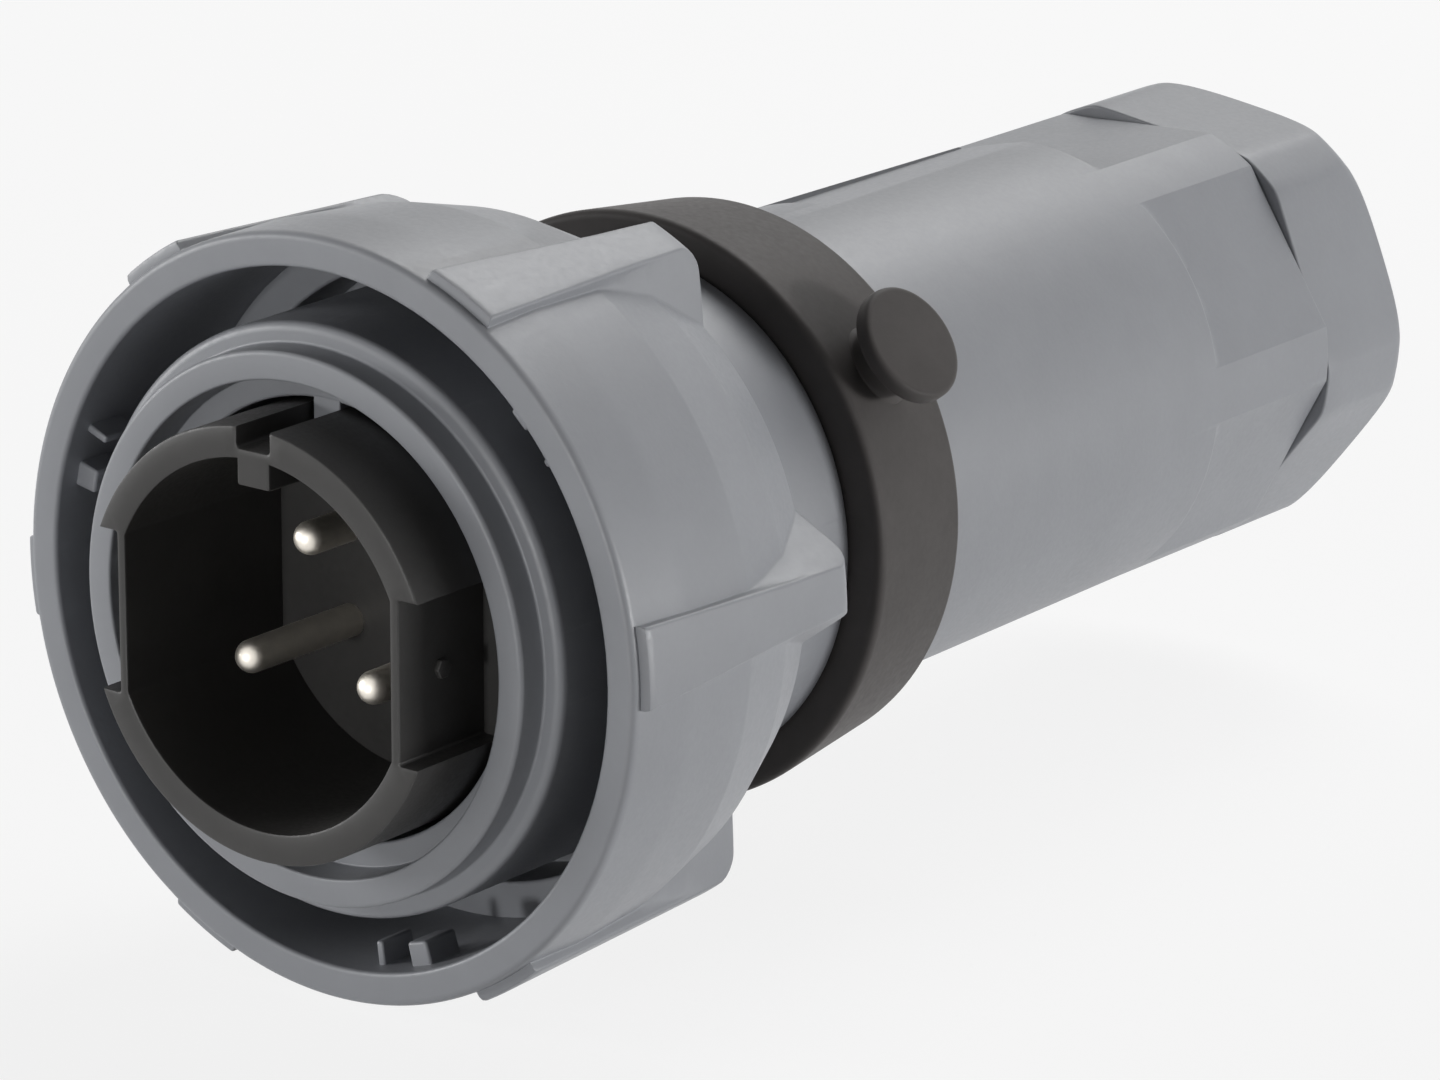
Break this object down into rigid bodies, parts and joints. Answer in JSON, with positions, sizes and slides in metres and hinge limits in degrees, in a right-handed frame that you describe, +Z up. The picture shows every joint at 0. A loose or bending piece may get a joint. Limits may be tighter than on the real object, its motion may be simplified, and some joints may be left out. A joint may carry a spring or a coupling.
{
  "type": "circular connector",
  "caption": "Circular cable connector, pin half: bayonet coupling ring on a keyed nose, strap ring with a stud, and a hexagonal cable gland.",
  "frame": {"origin": "on the connector's axis, in the plane of the nose's shoulder, where the lip springs from it", "axes": "+Y along the axis from the mating end to the cable end, +Z up on the side of the polarising key"},
  "size_m": [0.0378, 0.0786, 0.0368],
  "materials": {
    "grey_shell": "moulded, fine matt",
    "grey_ring": "moulded, fine matt",
    "grey_nut": "moulded, fine matt",
    "black_strap": "moulded, matt",
    "black_carrier": "moulded, matt",
    "clip_plastic": "moulded, matt",
    "pin_plating": "bright plated",
    "spring_steel": "bright",
    "seal_rubber": "matt"
  },
  "bodies": {
    "body": {"body_shell": "grey_shell", "ring_spring": "spring_steel", "ring_clip": "clip_plastic", "contact_carrier": "black_carrier", "carrier_oring": "seal_rubber", "carrier_washer": "spring_steel", "carrier_nut": "clip_plastic", "pin_contact_1": "pin_plating", "pin_contact_2": "pin_plating", "pin_contact_3": "pin_plating", "terminal_screw_1": "spring_steel", "terminal_screw_2": "spring_steel", "terminal_screw_3": "spring_steel", "gland_seal": "seal_rubber", "gland_washer": "clip_plastic", "gland_cage": "clip_plastic", "gland_nut": "grey_nut"},
    "ring": {"coupling_ring": "grey_ring"},
    "strap": {"strap_ring": "black_strap"}
  },
  "joints": [
    {"name": "ring_twist", "type": "hinge", "parent": "body", "child": "ring", "pos_m": [0, 0.01435, 0], "axis": [0, -1, 0], "range_deg": [0, 30]},
    {"name": "strap_turn", "type": "hinge", "parent": "body", "child": "strap", "pos_m": [0, 0.0271, 0], "axis": [0, 1, 0], "continuous": true}
  ]
}
